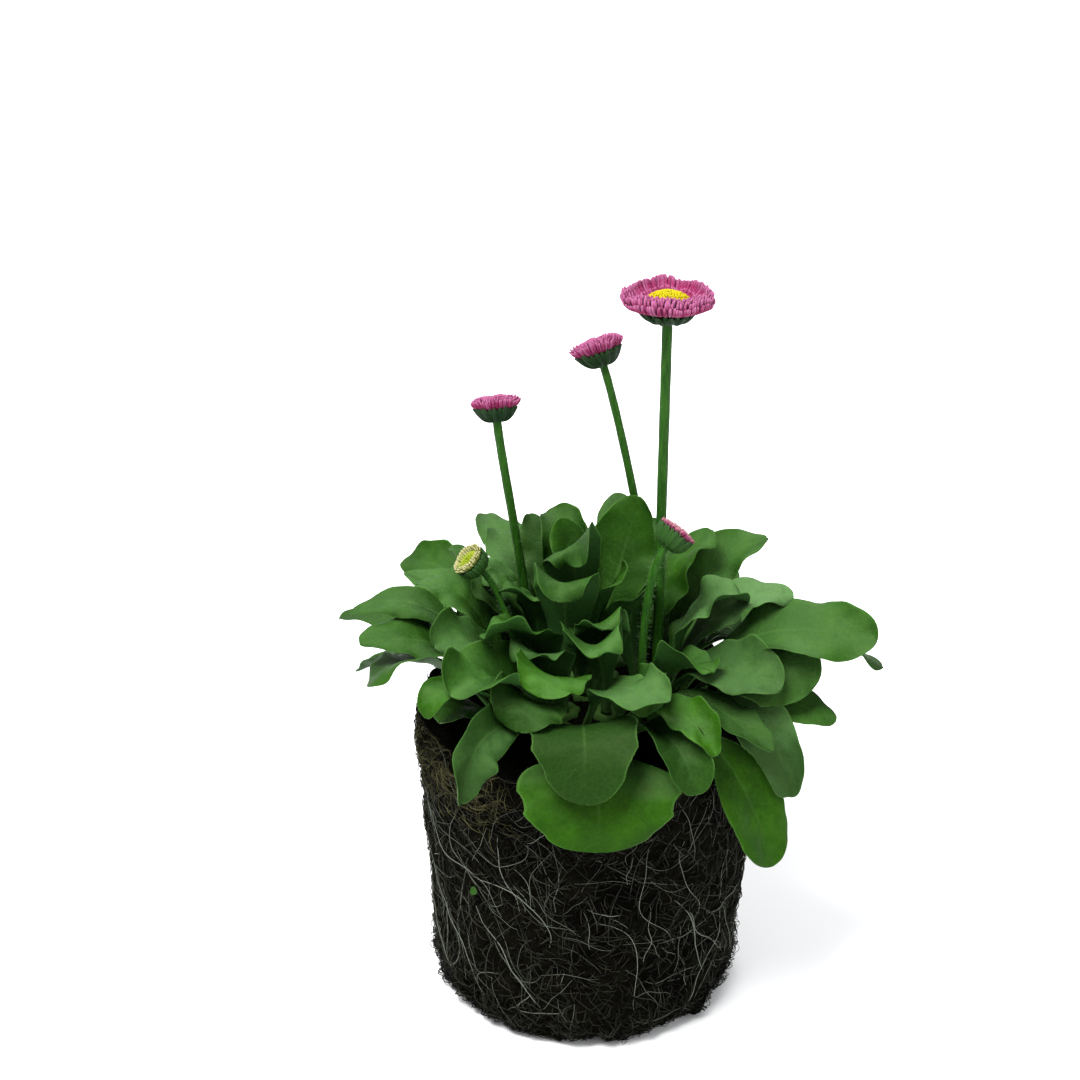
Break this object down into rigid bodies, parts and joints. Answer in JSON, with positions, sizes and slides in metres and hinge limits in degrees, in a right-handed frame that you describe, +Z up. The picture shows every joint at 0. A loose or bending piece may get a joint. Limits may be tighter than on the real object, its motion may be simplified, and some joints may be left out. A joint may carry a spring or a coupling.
{
  "type": "english daisy plant with bare root ball",
  "caption": "Compact daisy plant for bedding: a rosette of wavy spoon-shaped leaves and pink flower heads on bare stems, standing on its ball of soil and roots.",
  "frame": {"origin": "middle of the root ball's flat foot", "axes": "+Z up along the root ball's axis, -Y towards the front seen in the picture, +X to the right"},
  "size_m": [0.1535, 0.1308, 0.2228],
  "materials": {
    "soil": "dull, fibrous",
    "leaf": "satin",
    "stem": "satin",
    "pink_ray": "soft",
    "pale_ray": "soft",
    "disc": "soft"
  },
  "bodies": {
    "root": {"leaf_front_low": "leaf", "leaf_front_round": "leaf", "leaf_front_right_hanging": "leaf", "leaf_front_right_short": "leaf", "leaf_right_hanging": "leaf", "leaf_left_curled": "leaf", "leaves_outer_8": "leaf", "leaf_front_crossing": "leaf", "leaves_inner_1": "leaf", "leaves_core": "leaf", "leaves_outer_2": "leaf", "leaf_right_far": "leaf", "leaf_right_flat": "leaf", "leaves_outer_7": "leaf", "leaf_left_flat": "leaf", "leaves_inner_6": "leaf", "leaves_outer_1": "leaf", "leaf_left_small": "leaf", "leaf_front_left_shaded": "leaf", "leaf_left_drooping": "leaf", "leaves_inner_2": "leaf", "leaf_right_tip": "leaf", "leaf_right_low": "leaf", "leaves_inner_4": "leaf", "leaves_inner_5": "leaf", "leaf_left_low": "leaf", "leaves_outer_3": "leaf", "leaves_outer_6": "leaf", "leaves_inner_3": "leaf", "leaves_outer_5": "leaf", "leaves_outer_4": "leaf", "leaf_back_18": "leaf", "leaf_back_19": "leaf", "leaf_back_20": "leaf", "leaf_back_21": "leaf", "leaf_back_22": "leaf", "leaf_back_23": "leaf", "leaf_back_24": "leaf", "stem_and_cup_a": "stem", "ray_florets_a": "pink_ray", "disc_florets_a": "disc", "stem_and_cup_b": "stem", "ray_florets_b": "pink_ray", "stem_and_cup_c": "stem", "ray_florets_c": "pink_ray", "stem_and_cup_d": "stem", "ray_florets_d": "pale_ray", "disc_florets_d": "disc", "stem_and_cup_e": "stem", "ray_florets_e": "pink_ray", "root_ball": "soil"}
  },
  "joints": []
}
